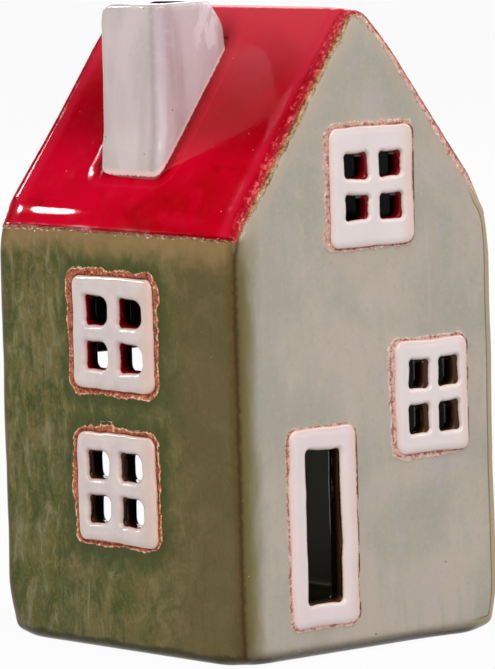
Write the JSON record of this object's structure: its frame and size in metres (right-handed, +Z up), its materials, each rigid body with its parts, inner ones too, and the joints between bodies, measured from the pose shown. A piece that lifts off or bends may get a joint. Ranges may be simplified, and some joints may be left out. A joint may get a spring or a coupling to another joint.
{
  "type": "tealight house",
  "caption": "Gabled ceramic house that holds a tealight: windows and a door let the light out, the rear opens wide for the candle and a flue lets the heat out.",
  "frame": {"origin": "centre of the house's flat base", "axes": "+Z up to the ridge, -Y towards the gable with the door, -X towards the wall under the chimney's roof slope"},
  "size_m": [0.0816, 0.087, 0.1498],
  "materials": {
    "olive_glaze": "glossy mottled olive glaze",
    "grey_green_glaze": "glossy mottled grey-green glaze",
    "red_glaze": "glossy deep red glaze",
    "grey_glaze": "glossy lavender grey glaze",
    "white_glaze": "glossy white glaze with a pink tint",
    "cup_metal": "thin pressed sheet",
    "wax": "white candle wax",
    "wick": "waxed braided cotton",
    "sustainer_metal": "thin tinned sheet"
  },
  "bodies": {
    "house": {"floor_slab": "olive_glaze", "front_gable": "grey_green_glaze", "rear_gable": "grey_green_glaze", "left_wall": "olive_glaze", "right_wall": "olive_glaze", "left_roof_slab": "red_glaze", "right_roof_slab": "red_glaze", "chimney": "grey_glaze", "left_upper_window_frame": "white_glaze", "left_lower_window_frame": "white_glaze", "right_upper_window_frame": "white_glaze", "right_lower_window_frame": "white_glaze", "front_upper_window_frame": "white_glaze", "front_lower_window_frame": "white_glaze", "door_frame": "white_glaze"},
    "tealight": {"tealight_cup": "cup_metal", "tealight_wax": "wax", "tealight_wick": "wick", "wick_sustainer": "sustainer_metal"}
  },
  "joints": [
    {"name": "tealight_slide", "type": "slide", "parent": "house", "child": "tealight", "axis": [0, 1, 0], "range_m": [0, 0.085]}
  ]
}
